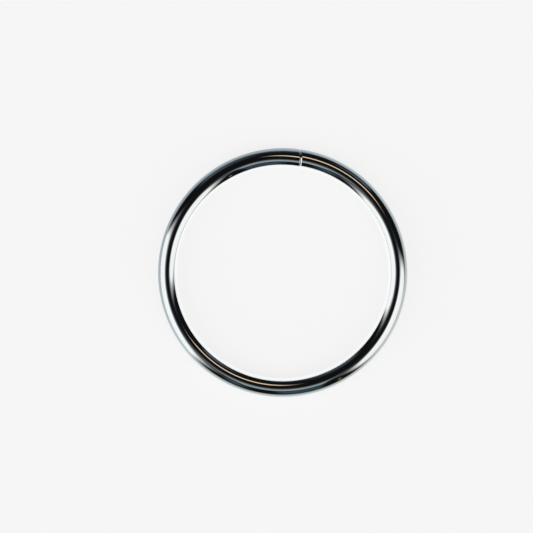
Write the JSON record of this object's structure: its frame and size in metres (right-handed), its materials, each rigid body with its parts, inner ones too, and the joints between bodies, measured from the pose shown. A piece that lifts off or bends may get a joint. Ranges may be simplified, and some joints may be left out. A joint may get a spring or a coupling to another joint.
{
  "type": "metal o-ring",
  "caption": "Ring of round steel wire with butted ends and a bright plated finish, for joining straps, cords and hooks.",
  "frame": {"origin": "centre of the ring, on the surface that it lies on", "axes": "+Z along the ring's axis, up from the surface; +Y towards the seam where the wire's ends meet"},
  "size_m": [0.0598, 0.0598, 0.0045],
  "materials": {
    "bright_plate": "bright plated steel, mirror polish"
  },
  "bodies": {
    "root": {"wire_ring": "bright_plate"}
  },
  "joints": []
}
